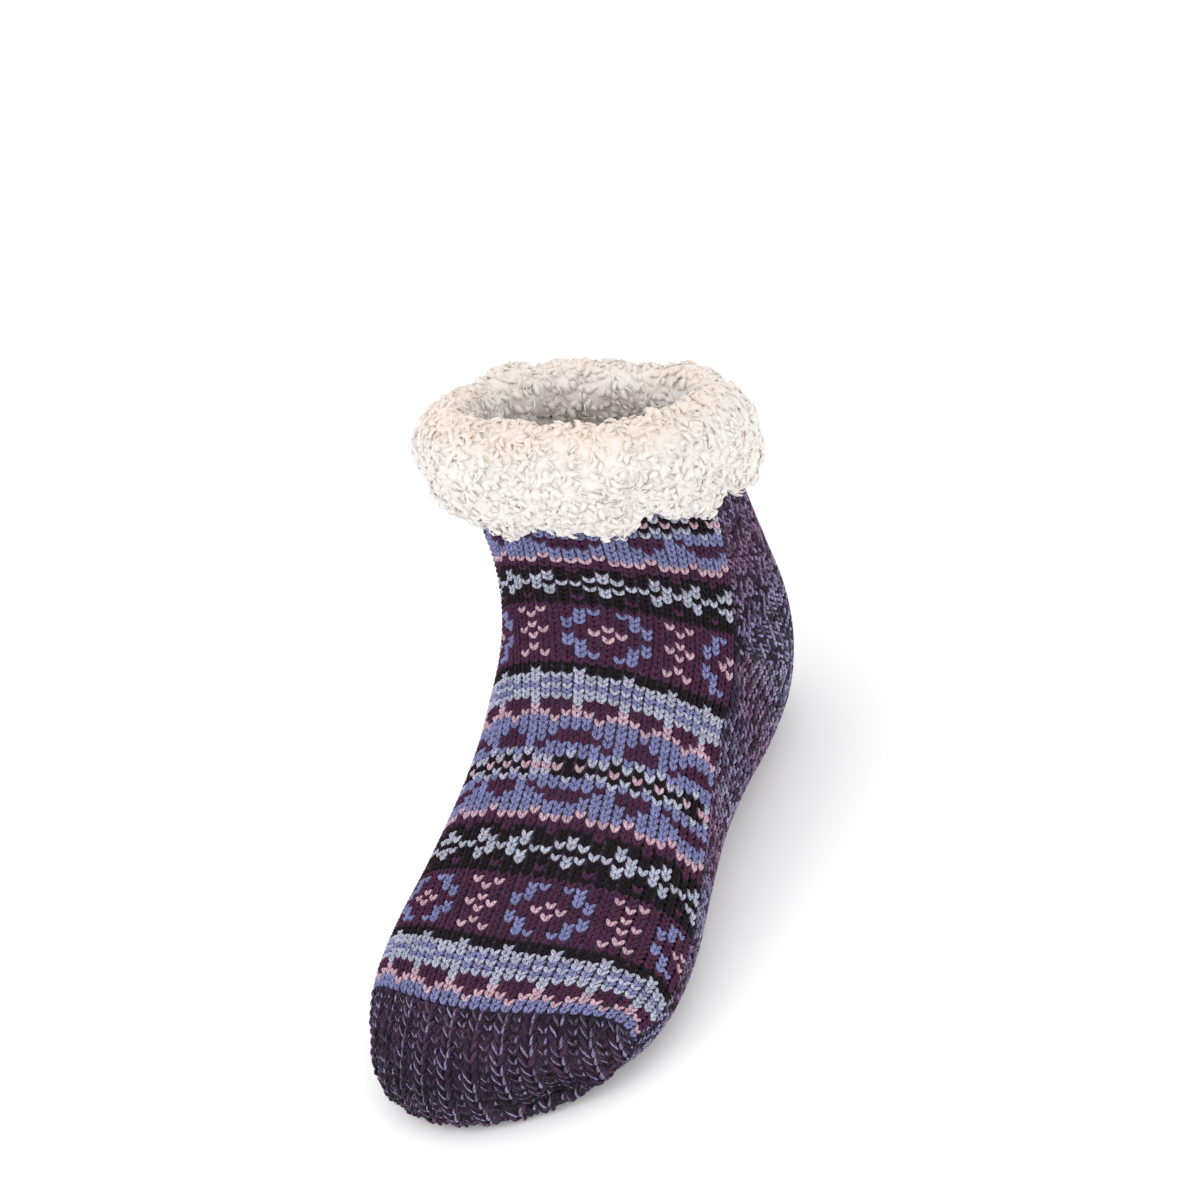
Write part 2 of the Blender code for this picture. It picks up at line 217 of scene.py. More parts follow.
def skin_shift():
    """How far the solids lie from the table's own middle, from the sole's box."""
    rings = np.linspace(TOE_LINE, LAST, len(SKIN) - TOE_ROW)
    edge = sections_at(rings)[:, COLUMNS.index("seam")]
    sole = SKIN[TOE_ROW:][np.abs(SHARES)[None] >= edge[:, None]]
    low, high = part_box("sole_and_heel")
    shift = (np.array(low + high) - sole.min(axis=0) - sole.max(axis=0)) / 2
    return shift * (1, 1, 0)


SHIFT = skin_shift()
SKIN = SKIN + SHIFT


def between(grid, row, column):
    """Values of a grid at rows and columns between its points."""
    i = np.minimum(row.astype(int), grid.shape[0] - 2)
    j = np.minimum(column.astype(int), grid.shape[1] - 2)
    a, b = (row - i)[..., None], (column - j)[..., None]
    return ((1 - a) * ((1 - b) * grid[i, j] + b * grid[i, j + 1])
            + a * ((1 - b) * grid[i + 1, j] + b * grid[i + 1, j + 1]))


def on_skin(t, v, what):
    """Values of a skin grid at rings t and girth shares v, which wrap round at the sole."""
    return between(what, np.clip(t, 0, LAST) * RING_STEPS, ((v + 1) % 2) * HALF)


def under_cuff(place):
    """Whether knit there is well hidden under the turned-down cuff."""
    return place[..., 2] > HEM_Z + HEM_SLOPE * (place[..., 1] - HEM_Y) + HEM_COVER


# Materials.


class Wire:
    """A socket's value in shader maths."""

    def __init__(self, finish, socket):
        self.finish, self.socket = finish, socket

    def math(self, operation, other=None, swap=False):
        ends = (self, other)[::-1] if swap else (self, other)
        return self.finish.node("ShaderNodeMath", {"operation": operation},
                                {0: ends[0], 1: ends[1]} if other is not None else {0: self})

    def __add__(self, other):
        return self.math("ADD", other)

    def __sub__(self, other):
        return self.math("SUBTRACT", other)

    def __mul__(self, other):
        return self.math("MULTIPLY", other)

    def __rsub__(self, other):
        return self.math("SUBTRACT", other, swap=True)

    __radd__, __rmul__ = __add__, __mul__


class Finish:
    """A material built from nodes round one Principled shader."""

    def __init__(self, name, **constants):
        self.material = bpy.data.materials.new(name)
        self.material.use_nodes = True
        self.nodes = self.material.node_tree.nodes
        self.shader = self.nodes["Principled BSDF"]
        for key, value in constants.items():
            self.shader.inputs[key.replace("_", " ")].default_value = value

    def node(self, kind, settings=None, sockets=None, out=0):
        made = self.nodes.new(kind)
        for key, value in (settings or {}).items():
            if key == "stops":
                ramp = made.color_ramp.elements
                while len(ramp) < len(value):
                    ramp.new(0.5)
                for stop, (place, colour) in zip(ramp, value):
                    stop.position, stop.color = place, (*colour, 1)
            else:
                setattr(made, key, value)
        for key, value in (sockets or {}).items():
            if isinstance(value, Wire):
                self.material.node_tree.links.new(value.socket, made.inputs[key])
            else:
                made.inputs[key].default_value = value
        return Wire(self, made.outputs[out])

    def axis(self, vector, index):
        return self.node("ShaderNodeSeparateXYZ", {}, {0: vector}, out=index)

    def mix(self, factor, a, b, blend="MIX"):
        return self.node("ShaderNodeMix", {"data_type": "RGBA", "blend_type": blend},
                         {0: factor, 6: a, 7: b}, out=2)

    def set(self, **wires):
        for key, value in wires.items():
            self.material.node_tree.links.new(value.socket,
                                              self.shader.inputs[key.replace("_", " ")])
        return self.material


def yarn_finish(name, plies, twist, edge):
    """Twisted yarn in the stitch's two colours: the light one from edge up, on the plies'
    crests, and the dark one in the grooves between them, which on one-colour yarn is painted
    shade.
    """
    f = Finish(name, Roughness=0.95, Sheen_Weight=0.05, Sheen_Roughness=0.6,
               Specular_IOR_Level=0.05)
    light = f.node("ShaderNodeAttribute", {"attribute_name": "light"})
    dark = f.node("ShaderNodeAttribute", {"attribute_name": "dark"})
    uv = f.node("ShaderNodeUVMap", {"uv_map": "yarn"})
    around, along = f.axis(uv, 0), f.axis(uv, 1)
    place = f.node("ShaderNodeTexCoord", {}, {}, out=3)
    grain = f.node("ShaderNodeTexNoise", {}, {"Vector": place, "Scale": 900.0, "Detail": 2.0})
    ply = (around * plies + along * twist + grain * 0.35).math("FRACT")
    groove = f.node("ShaderNodeMath", {"operation": "PINGPONG"}, {0: ply, 1: 0.5}) * 2.0
    band = f.node("ShaderNodeValToRGB",
                  {"stops": ((edge - 0.1, (0, 0, 0)), (edge + 0.1, (1, 1, 1)))}, {0: groove})
    # The dark colour fills the grooves between the plies. On one-colour yarn it is painted
    # shade.
    colour = f.mix(band, dark, light)
    hairs = f.node("ShaderNodeTexNoise", {}, {"Vector": place, "Scale": 1900.0, "Detail": 3.0})
    fibre = f.node("ShaderNodeValToRGB",
                   {"stops": ((0.36, (0.12, 0.12, 0.12)), (0.64, (0.88, 0.88, 0.88)))},
                   {0: hairs})
    colour = f.mix(0.7, colour, fibre, "OVERLAY")
    height = groove * 0.4 + hairs * 0.9
    bump = f.node("ShaderNodeBump", {}, {"Strength": 0.6, "Distance": 0.0005,
                                         "Height": height})
    return f.set(Base_Color=colour, Normal=bump)


def painted_shade_finish(name, deep, pale):
    """Painted shade between the stitches: a dark mottled sheet where the loops behind them lie
    in shade.
    """
    f = Finish(name, Roughness=0.95, Specular_IOR_Level=0.1)
    place = f.node("ShaderNodeTexCoord", {}, {}, out=3)
    loops = f.node("ShaderNodeTexNoise", {}, {"Vector": place, "Scale": 500.0, "Detail": 3.0})
    ramp = f.node("ShaderNodeValToRGB", {"stops": ((0.35, deep), (0.75, pale))}, {0: loops})
    bump = f.node("ShaderNodeBump", {}, {"Strength": 0.6, "Distance": 0.0006, "Height": loops})
    return f.set(Base_Color=ramp, Normal=bump)


def pile_finish(name, shaded_hollow, body, lit_top, peach):
    """Curly fleece: cream, with painted shade in the hollows of its bumps and painted light on
    their tops, and peachier towards the collar's edge, where the peach also stands in for the
    shade inside the collar.
    """
    f = Finish(name, Roughness=1.0, Sheen_Weight=0.2, Sheen_Roughness=0.6,
               Specular_IOR_Level=0.05)
    place = f.node("ShaderNodeTexCoord", {}, {}, out=3)
    clumps = f.node("ShaderNodeTexNoise", {}, {"Vector": place, "Scale": 240.0, "Detail": 4.0})
    # Darker in the hollows of the bumps and lighter on their tops: painted shade and painted
    # light.
    colour = f.node("ShaderNodeValToRGB",
                    {"stops": ((0.28, shaded_hollow), (0.46, body), (0.66, lit_top))}, {0: clumps})
    rise = (f.axis(place, 2) - f.axis(place, 1) * HEM_SLOPE - PEACH_START) * (1 / PEACH_SPAN)
    broad = f.node("ShaderNodeTexNoise", {}, {"Vector": place, "Scale": 70.0, "Detail": 2.0})
    edge = f.node("ShaderNodeValToRGB", {"stops": ((0.3, (0, 0, 0)), (0.9, (1, 1, 1)))},
                  {0: rise + (broad - 0.5) * 0.8})
    # Peach near the collar's edge: a tint that is also painted shade inside the collar.
    colour = f.mix(edge, colour, (*peach, 1))
    fine = f.node("ShaderNodeTexNoise", {}, {"Vector": place, "Scale": 1500.0, "Detail": 3.0})
    bump = f.node("ShaderNodeBump", {}, {"Strength": 0.3, "Distance": 0.0005,
                                         "Height": clumps + fine * 0.6})
    return f.set(Base_Color=colour, Normal=bump)


# One strand, modelled once.


def strand(path, sides):
    """A closed tapered strand through rows of (across, along, out, across radius, out radius).

    Returns its points, its faces, and the place round and along it of each face corner."""
    x, y, z, wide, deep = path[0]
    bpy.ops.mesh.primitive_circle_add(vertices=sides, radius=1, fill_type="NGON",
                                      location=(x, y, z), rotation=(math.pi / 2, 0, 0))
    piece = bpy.context.object
    bpy.ops.object.mode_set(mode="EDIT")
    bpy.ops.mesh.select_all(action="SELECT")
    bpy.ops.transform.resize(value=(wide, 1, deep), center_override=(x, y, z))
    for (x0, y0, z0, w0, d0), (x1, y1, z1, w1, d1) in zip(path, path[1:]):
        bpy.ops.mesh.extrude_region_move(
            TRANSFORM_OT_translate={"value": (x1 - x0, y1 - y0, z1 - z0)})
        bpy.ops.transform.resize(value=(w1 / w0, 1, d1 / d0), center_override=(x1, y1, z1))
    bpy.ops.mesh.select_all(action="SELECT")
    bpy.ops.mesh.normals_make_consistent(inside=False)
    bpy.ops.object.mode_set(mode="OBJECT")
    piece.data.transform(piece.matrix_world)
    points = np.array([v.co for v in piece.data.vertices])
    faces = [tuple(face.vertices) for face in piece.data.polygons]
    # The operators leave the faces in an order that differs from run to run.
    faces = sorted(face[face.index(min(face)):] + face[:face.index(min(face))] for face in faces)
    bpy.data.objects.remove(piece)
    spine = np.array(path)
    middle = [np.interp(points[:, 1], spine[:, 1], spine[:, k]) for k in (0, 2)]
    turn = np.arctan2(points[:, 0] - middle[0], points[:, 2] - middle[1]) / (2 * np.pi)
    along = (points[:, 1] - spine[0, 1]) / (spine[-1, 1] - spine[0, 1])
    corners = []
    for face in faces:
        u = turn[list(face)]
        u = np.where((u.max() - u.min() > 0.5) & (u < 0), u + 1, u)
        corners.extend(zip(u, along[list(face)]))
    return points, faces, np.array(corners)


def mirrored(piece):
    """The same strand on the other side of the stitch."""
    points, faces, corners = piece
    counts = [len(face) for face in faces]
    ends = np.cumsum([0] + counts)
    turned = np.concatenate([corners[a:b][::-1] for a, b in zip(ends, ends[1:])])
    return points * (-1, 1, 1), [face[::-1] for face in faces], turned * (-1, 1)


def together(*pieces):
    """One template of several parts, with the number of points in each."""
    points, faces, corners = [], [], []
    for piece in pieces:
        base = sum(len(p) for p in points)
        points.append(piece[0])
        faces.extend(tuple(base + k for k in face) for face in piece[1])
        corners.append(piece[2])
    return np.concatenate(points), faces, np.concatenate(corners), [len(p) for p in points]


def ground(height):
    """The low ridge of cloth behind one stitch."""
    return strand(((0, -0.5, height, 0.57, 0.07), (0, 0.5, height, 0.57, 0.07)), 3)


def joined(name, template, placed, material, light, dark):
    """One mesh of copies of the template; placed holds each copy's points.

    The colours are given by copy and by the template's part."""
    copies, per = placed.shape[:2]
    counts = np.array([len(face) for face in template[1]])
    flat = np.concatenate([np.array(face) for face in template[1]])
    mesh = bpy.data.meshes.new(name)
    mesh.vertices.add(copies * per)
    mesh.vertices.foreach_set("co", placed.astype(np.float32).ravel())
    mesh.loops.add(copies * len(flat))
    loops = (flat[None] + per * np.arange(copies)[:, None]).ravel()
    mesh.loops.foreach_set("vertex_index", loops.astype(np.int32))
    mesh.polygons.add(copies * len(counts))
    totals = np.tile(counts, copies)
    mesh.polygons.foreach_set("loop_start", np.r_[0, np.cumsum(totals)[:-1]].astype(np.int32))
    mesh.update(calc_edges=True)
    uv = mesh.uv_layers.new(name="yarn")
    uv.data.foreach_set("uv", np.tile(template[2], (copies, 1)).astype(np.float32).ravel())
    for key, colours in (("light", light), ("dark", dark)):
        layer = mesh.color_attributes.new(key, "FLOAT_COLOR", "POINT")
        rgba = np.concatenate([colours, np.ones((copies, len(template[3]), 1))], axis=2)
        rgba = np.repeat(rgba, template[3], axis=1)
        layer.data.foreach_set("color", rgba.astype(np.float32).ravel())
    mesh.shade_smooth()
    mesh.materials.append(material)
    thing = bpy.data.objects.new(name, mesh)
    bpy.context.scene.collection.objects.link(thing)
    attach(thing, "root")


def over_skin(lay):
    """Turns a lay into ring and girth share into one that gives places and normals."""
    def places(row, wale):
        t, v = lay(row, wale)
        return on_skin(t, v, SKIN), on_skin(t, v, NORMAL)
    return places


def knit(name, template, lay, rows, wales, material, light, dark):
    """Stitches at rows and wales of a fabric; lay gives places and normals there."""
    across, along, out = np.split(template[0][None], 3, axis=2)
    size = 1 + SIZE_SPREAD * rng.standard_normal((len(rows), 1))
    aside = SIDE_SPREAD * rng.standard_normal((len(rows), 1))
    ahead = ROW_SPREAD * rng.standard_normal((len(rows), 1))
    place, normal = lay(along[..., 0] * size + rows[:, None] + ahead,
                        across[..., 0] * size + wales[:, None] + aside)
    place = place + normal * (out * STITCH_DEPTH)
    sunk = np.minimum(place[..., 2], 0)
    place[..., 2] += PRESSED * np.expm1(sunk / PRESSED) - sunk
    joined(name, template, place, material, light, dark)


def varied(colours, amount):
    """Colours with their brightness varied from stitch to stitch."""
    return np.clip(colours * (1 + amount * rng.standard_normal((len(colours), 1))), 0, 1)


rng = np.random.default_rng(5)
# How deep a stitch of unit height is, and how much stitches vary in size, side and height.
STITCH_DEPTH = 4 * MM
SIZE_SPREAD, SIDE_SPREAD, ROW_SPREAD = 0.05, 0.02, 0.03
LEG = strand(((0.045, -0.80, -0.14, 0.05, 0.05), (0.11, -0.44, 0.08, 0.150, 0.14),
              (0.22, 0.04, 0.17, 0.200, 0.18), (0.31, 0.50, 0.10, 0.170, 0.15),
              (0.385, 0.94, -0.14, 0.05, 0.05)), 5)
STITCH = together(LEG, mirrored(LEG), ground(0.0))
THIN_LEG = strand(((0.05, -0.80, -0.14, 0.06, 0.06), (0.15, -0.28, 0.10, 0.18, 0.16),
                   (0.28, 0.32, 0.11, 0.19, 0.16), (0.39, 0.92, -0.14, 0.06, 0.06)), 4)
MARL_STITCH = together(THIN_LEG, mirrored(THIN_LEG), ground(0.0))

solid_yarn = yarn_finish("dyed_wool_yarn", 2.0, 1.6, 0.45)
marl_yarn = yarn_finish("marl_wool_yarn", 1.0, 0.8, 0.58)
toe_yarn = yarn_finish("toe_marl_yarn", 2.0, 1.0, 0.66)

# Instep panel.


def panel_lay(row, wale):
    """Rows are minus the chart's, so they count towards the cuff; wales from the -X seam."""
    ring = np.interp(-row, ROW_MARKS, RING_MARKS)
    share = 2 * (wale + 0.5) / PANEL_WALES - 1
    t = ring + np.interp(ring, BEND_RINGS, BEND) * share ** 2
    return t, share * seam_at(t)


def grid_of(rows, wales):
    """Every stitch of some rows and wales, as two flat lists."""
    return [flat.ravel() for flat in np.meshgrid(rows, wales, indexing="ij")]


# How far behind the toe line the last row lies at least, in rings, how much the yarns vary,
# how far the cloth behind a stitch is darkened, as painted shade, and the painted shade that
# darkens the grooves between the plies of each leg and of that cloth.
TOE_CLEAR, PANEL_SPREAD, SHADE_BEHIND, PLY_GROOVE_SHADE = 0.02, 0.07, 0.35, np.array((0.78, 0.78, 1.0))
rows, wales = grid_of(np.arange(FIRST_ROW, LAST_ROW + 1), np.arange(PANEL_WALES))
t, v = panel_lay(-rows.astype(float), wales.astype(float))
shown = (t > TOE_LINE + TOE_CLEAR) & ~under_cuff(on_skin(t, v, SKIN))
rows, wales = rows[shown], wales[shown]
letters = [CHART[r % len(CHART)][(w - ROSE_WALE) % len(CHART[0])] for r, w in zip(rows, wales)]
letters = ["R" if r % len(CHART) == BRAID_ROW and w in BRAID_ROSE else k
           for r, w, k in zip(rows, wales, letters)]
dyed = varied(np.array([YARNS[k] for k in letters]), PANEL_SPREAD)
for name, part in (("instep_knit_upper", rows < LOWER_ROW),
                   ("instep_knit_lower", rows >= LOWER_ROW)):
    # The cloth behind each stitch is darkened: painted shade between the stitches.
    light = np.stack([dyed[part], dyed[part], dyed[part] * SHADE_BEHIND], axis=1)
    # The darker colour in the grooves between each leg's plies is painted shade.
    dark = light * PLY_GROOVE_SHADE[:, None]
    knit(name, STITCH, over_skin(panel_lay), -rows[part].astype(float),
         wales[part].astype(float), solid_yarn, light, dark)

# Marl sole, heel and back of the leg.


def course_lines(field, values, last_crossing):
    """For each value, ring t per girth column where the field passes it, or nan."""
    columns = np.arange(GIRTH + 1)
    lines = []
    for value in values:
        over = field > value
        turn = (~over[:-1]) & over[1:]
        found = turn.any(axis=0)
        index = np.argmax(turn, axis=0)
        if last_crossing:
            index = len(turn) - 1 - np.argmax(turn[::-1], axis=0)
        a, b = field[index, columns], field[index + 1, columns]
        t = (index + (value - a) / np.where(b - a == 0, 1, b - a)) / RING_STEPS
        lines.append(np.where(found, t, np.nan))
    return np.array(lines)


# Girth shares counted on through the sole's middle or the back, which is 1, and how far
# to each side of it the marl courses reach.
SPAN = np.where(SHARES < 0, SHARES + 2, SHARES)
REACH, REACH_STEPS = 0.62, 125
ORDER = np.argsort(SPAN, kind="stable")


def marl_lay(values, lines, side_run):
    """A function from (course, wale) to ring and girth share, wales counted from the middle."""
    grid_t, grid_v = [], []
    slots = np.linspace(-0.5, 0.5, 4 * SOLE_WALES + 1) * SOLE_WALES
    for line, run_side in zip(lines, side_run):
        good = [k for k in ORDER if not np.isnan(line[k]) and abs(SPAN[k] - 1) < REACH]
        t, span = line[good], SPAN[good]
        place = on_skin(t, span, SKIN)
        run = np.r_[0, np.cumsum(np.linalg.norm(np.diff(place, axis=0), axis=1))]
        run -= np.interp(1.0, span, run)
        wale = run / run_side * SOLE_WALES / 2
        grid_t.append(np.interp(slots, wale, t, left=np.nan, right=np.nan))
        grid_v.append(np.interp(slots, wale, span, left=np.nan, right=np.nan))
    grid = np.stack([grid_t, grid_v], -1)

    def lay(course, wale):
        slot = (wale / SOLE_WALES + 0.5) * (len(slots) - 1)
        both = between(grid, np.clip(course, 0, len(values) - 1 - EDGE),
                       np.clip(slot, 0, len(slots) - 1 - EDGE))
        return both[..., 0], both[..., 1]

    return lay


def seam_run(line):
    """Half the course's length, from the sole's middle or the back to the side seam."""
    runs = []
    for sign in (-1, 1):
        span = 1 + sign * np.linspace(0, REACH, REACH_STEPS)
        t = np.interp(span, SPAN[ORDER], line[ORDER])
        keep = ~np.isnan(t) & (np.abs(span - 1) <= 1 - seam_at(t))
        place = on_skin(t[keep], span[keep], SKIN)
        runs.append(np.linalg.norm(np.diff(place, axis=0), axis=1).sum())
    return np.mean(runs)


def on_foot(place):
    """Whether a place lies before the slanted line on the heel."""
    return place[:, 2] <= ANKLE_Z + MITRE_SLOPE * (place[:, 1] - ANKLE_Y)


# How far a marl stitch reaches from its middle, in wales and in courses, and how far it may
# pass the side seam, as a girth share.
STITCH_SIDES, STITCH_ENDS, SEAM_LAP = (-0.45, 0.45), (-0.7, 0.8), 0.004


def marl(name, field, values, last_crossing, ankle, keep_test, stripes):
    """One zone of marl knit, its courses where the field passes the values.

    Courses beyond the ankle have no seam to end at, and keep the ankle's width."""
    lines = course_lines(field, values, last_crossing)
    seams = np.array([seam_run(line) for line in lines])
    clear = (values <= ankle) if not last_crossing else (values >= ankle)
    at_ankle = np.interp(ankle, values[clear], seams[clear])
    side_run = np.where(clear, seams, at_ankle)
    lay = marl_lay(values, lines, side_run)
    rows, wales = grid_of(np.arange(len(values), dtype=float),
                          np.arange(SOLE_WALES) + 0.5 - SOLE_WALES / 2)
    t, v = lay(rows, wales)
    corners = [lay(rows + y, wales + x) for x in STITCH_SIDES for y in STITCH_ENDS]
    whole = np.all([~np.isnan(a) for a, b in corners], axis=0) & ~np.isnan(t)
    place = np.zeros((len(rows), 3))
    place[whole] = on_skin(t[whole], v[whole], SKIN)
    keep = whole & keep_test(place) & ~under_cuff(place)
    keep &= np.abs(v - 1) < 1 - seam_at(np.where(whole, t, 0)) + SEAM_LAP
    rows, wales = rows[keep], wales[keep]
    light, dark = marled(rows, wales, *stripes)
    knit(name, MARL_STITCH, over_skin(lay), rows, wales, marl_yarn, light,
         dark)


# How far the stripes' edges wander, in courses: in waves over the wales, which have this
# many radians a wale, and from stitch to stitch.
WAVE, WAVE_TURN, WANDER = 1.5, 0.37, 1.2
# How much the pale and the deep ply vary, how much of the pale one is seen where it is
# hidden, half seen and in full sight, and how far the cloth behind a stitch is darkened, as
# painted shade.
PALE_SPREAD, DEEP_SPREAD, GLIMPSES, MARL_SHADE_BEHIND = 0.16, 0.25, (0.0, 0.35, 1.0), 0.7


def striped(stops, rows, wales, amount):
    """Self-striping yarn colours by course, wandering a little from wale to wale."""
    phase = rows + WAVE * np.sin(wales * WAVE_TURN) + rng.normal(0, WANDER, len(rows))
    table = np.array([stop[1] for stop in stops])
    where = [stop[0] for stop in stops]
    colours = np.stack([np.interp(phase, where, table[:, k]) for k in range(3)], -1)
    return varied(colours, amount)


def marled(rows, wales, pale, deep, shares=(0.30, 0.27, 0.43)):
    """Two colours for each leg and the ground: a deep ply, and a pale one that comes and goes.

    The shares say how often the pale ply has each of the glimpses."""
    rows, wales = np.repeat(rows, 3), np.repeat(wales, 3)
    light = striped(pale, rows, wales, PALE_SPREAD)
    dark = striped(deep, rows, wales, DEEP_SPREAD)
    show = rng.choice(GLIMPSES, len(rows), p=shares)
    # The cloth behind each stitch shows only the deep ply and is darkened: painted shade between
    # the stitches.
    show[2::3] = 0
    light = dark + (light - dark) * show[:, None]
    light[2::3] *= MARL_SHADE_BEHIND
    dark[2::3] *= MARL_SHADE_BEHIND
    return light.reshape(-1, 3, 3), dark.reshape(-1, 3, 3)


NAVY, INK, MAUVE = (0.042, 0.027, 0.058), (0.028, 0.017, 0.034), (0.240, 0.140, 0.240)
LILAC, HEATHER, PLUM = (0.290, 0.275, 0.410), (0.200, 0.160, 0.285), (0.060, 0.027, 0.058)

# Where the first course lies behind the toe line, where the last ones end, and how many
# rings on the courses no longer bend with the toe line. The toe itself lies before them all.
TOE_MARGIN, MARL_END, BOW_RINGS, BEFORE_ALL = 1.2 * MM, 124 * MM, 3.5, -1
heights = SKIN[..., 1].copy()
toe_bow = heights[TOE_ROW] - heights[TOE_ROW, 0]
rings_on = np.arange(len(heights)) / RING_STEPS - TOE_LINE
fade = np.clip(1 - rings_on / BOW_RINGS, 0, 1)[:, None]
foot_field = heights - toe_bow[None] * fade
foot_field[:TOE_ROW] = BEFORE_ALL
foot_courses = np.arange(heights[TOE_ROW, 0] + TOE_MARGIN, MARL_END, ROW_PITCH)
FOOT_LIGHT = ((0, HEATHER), (6, LILAC), (12, MAUVE), (20, HEATHER), (27, LILAC), (34, HEATHER),
              (42, MAUVE), (50, LILAC), (58, HEATHER), (64, MAUVE), (72, LILAC), (90, LILAC))
FOOT_DARK = ((0, NAVY), (10, INK), (16, PLUM), (24, NAVY), (32, NAVY), (40, PLUM), (48, PLUM),
             (56, NAVY), (66, PLUM), (74, NAVY), (90, INK))
LEG_LIGHT = ((0, LILAC), (16, LILAC), (26, HEATHER), (34, MAUVE), (44, HEATHER), (60, LILAC))
LEG_DARK = ((0, INK), (14, NAVY), (26, INK), (34, PLUM), (46, NAVY), (60, NAVY))
marl("marl_foot_knit", foot_field, foot_courses, False, ANKLE_Y, on_foot,
     (FOOT_LIGHT, FOOT_DARK))
# The height of the leg's lowest course, and a hair's climb with each of the grid's rows, so
# that no stretch of the field is level.
LEG_START, CLIMB = 3 * MM, 1e-6
leg_field = SKIN[..., 2] + CLIMB * np.arange(len(heights))[:, None]
leg_courses = np.arange(LEG_START, MARL_END, ROW_PITCH)
marl("marl_heel_and_leg_knit", leg_field, leg_courses, True, ANKLE_Z,
     lambda place: ~on_foot(place), (LEG_LIGHT, LEG_DARK))

# Ribbed toe.

# The length of a row, where the first one lies, the most rows in a rib, the run that the
# table of ribs covers, and how far short of a rib's end its last row stays, in rows.
RIB_ROW, FIRST_ROW_AT, RIB_ROWS, RIB_REACH, RIB_END = 3.6 * MM, 0.6, 34, 110 * MM, 0.3
# Ribs that show on top, and how far past the outermost ones the table goes.
TOP_RIBS, RIB_SPARE = 12, 0.9
RIB_SLOTS = np.linspace(-RIB_SPARE, TOP_RIBS - 1 + RIB_SPARE, 5 * TOP_RIBS + 5)


def rib_line(wale):
    """Rings and girth shares of a rib, at one distance from the sock's middle plane.

    It runs from the toe line down over the toe, and back under it to the toe line."""
    x = np.interp((2 * wale + 1 - TOP_RIBS) / RIB_COUNT, SHARES, SKIN[TOE_ROW, :, 0])
    upper, lower = [], []
    for i in range(TOE_ROW, -1, -1):
        line, t = SKIN[i, :, 0], i / RING_STEPS
        left, right = np.argmin(line), np.argmax(line)
        if line[left] < x < line[right]:
            over = np.arange(left, right + 1)
            under = np.arange(right, left + GIRTH + 1)
            upper.append((t, np.interp(x, line[over], SHARES[over])))
            lower.append((t, np.interp(-x, -line[under % GIRTH], under / HALF - 1)))
    return np.array(upper + lower[::-1])


def rib_table():
    """Places, normals and length of each rib line, at every half RIB_ROW."""
    places, normals, lengths = [], [], []
    for wale in RIB_SLOTS:
        t, v = rib_line(wale).T
        place, normal = on_skin(t, v, SKIN), on_skin(t, v, NORMAL)
        run = np.r_[0, np.cumsum(np.linalg.norm(np.diff(place, axis=0), axis=1))]
        steps = np.arange(0, RIB_REACH, RIB_ROW / 2)
        places.append(np.stack([np.interp(steps, run, place[:, k]) for k in range(3)], -1))
        normals.append(np.stack([np.interp(steps, run, normal[:, k]) for k in range(3)], -1))
        lengths.append(run[-1])
    return np.array(places), np.array(normals), np.array(lengths)


RIB_PLACES, RIB_NORMALS, RIB_LENGTHS = rib_table()


def rib_lay(row, wale):
    """Rows count from the toe line, downward as minus; wales from the -X side."""
    step = np.clip(-2 * row, 0, RIB_PLACES.shape[1] - 1 - EDGE)
    per_rib = (len(RIB_SLOTS) - 1) / (RIB_SLOTS[-1] - RIB_SLOTS[0])
    slot = np.clip((wale + RIB_SPARE) * per_rib, 0, len(RIB_SLOTS) - 1 - EDGE)
    place, normal = [between(grid, slot, step) for grid in (RIB_PLACES, RIB_NORMALS)]
    return place, normal / np.linalg.norm(normal, axis=-1, keepdims=True)


RIB_LEG = strand(((0.02, -0.80, 0.02, 0.03, 0.05), (0.07, -0.42, 0.22, 0.080, 0.15),
                  (0.14, 0.04, 0.30, 0.100, 0.18), (0.20, 0.48, 0.25, 0.090, 0.15),
                  (0.25, 0.90, 0.02, 0.03, 0.05)), 5)
RIB_STITCH = together(RIB_LEG, mirrored(RIB_LEG), ground(0.12))
PURL_ARC = strand(((0.02, -0.42, 0.06, 0.05, 0.07), (0.11, 0.02, 0.17, 0.09, 0.13),
                   (0.21, 0.46, 0.06, 0.05, 0.07)), 5)
PURL_STITCH = together(PURL_ARC, mirrored(PURL_ARC), ground(0.08))
DUSK, MIST = (0.028, 0.016, 0.036), (0.230, 0.215, 0.345)
TOE_LIGHT = ((0, MIST), (5, HEATHER), (9, MIST), (13, LILAC), (16, MIST), (30, HEATHER))
TOE_DARK = ((0, INK), (4, PLUM), (7, DUSK), (11, INK), (15, PLUM), (20, DUSK), (30, PLUM))
for name, template, first, count in (("toe_rib_knit", RIB_STITCH, 0.0, TOP_RIBS),
                                     ("toe_rib_valleys", PURL_STITCH, -0.5, TOP_RIBS + 1)):
    rows, wales = grid_of(np.arange(RIB_ROWS) + FIRST_ROW_AT, first + np.arange(count))
    keep = rows * RIB_ROW < np.interp(wales, RIB_SLOTS, RIB_LENGTHS) - RIB_END * RIB_ROW
    rows, wales = rows[keep], wales[keep]
    light, dark = marled(rows, wales, TOE_LIGHT, TOE_DARK, (0.28, 0.27, 0.45))
    knit(name, template, rib_lay, -rows, wales, toe_yarn, light, dark)

# Pile cuff and lining.


def select_only(thing):
    """Makes a piece the one that operators act on."""
    for other in bpy.context.selected_objects:
        other.select_set(False)
    thing.select_set(True)
    bpy.context.view_layer.objects.active = thing


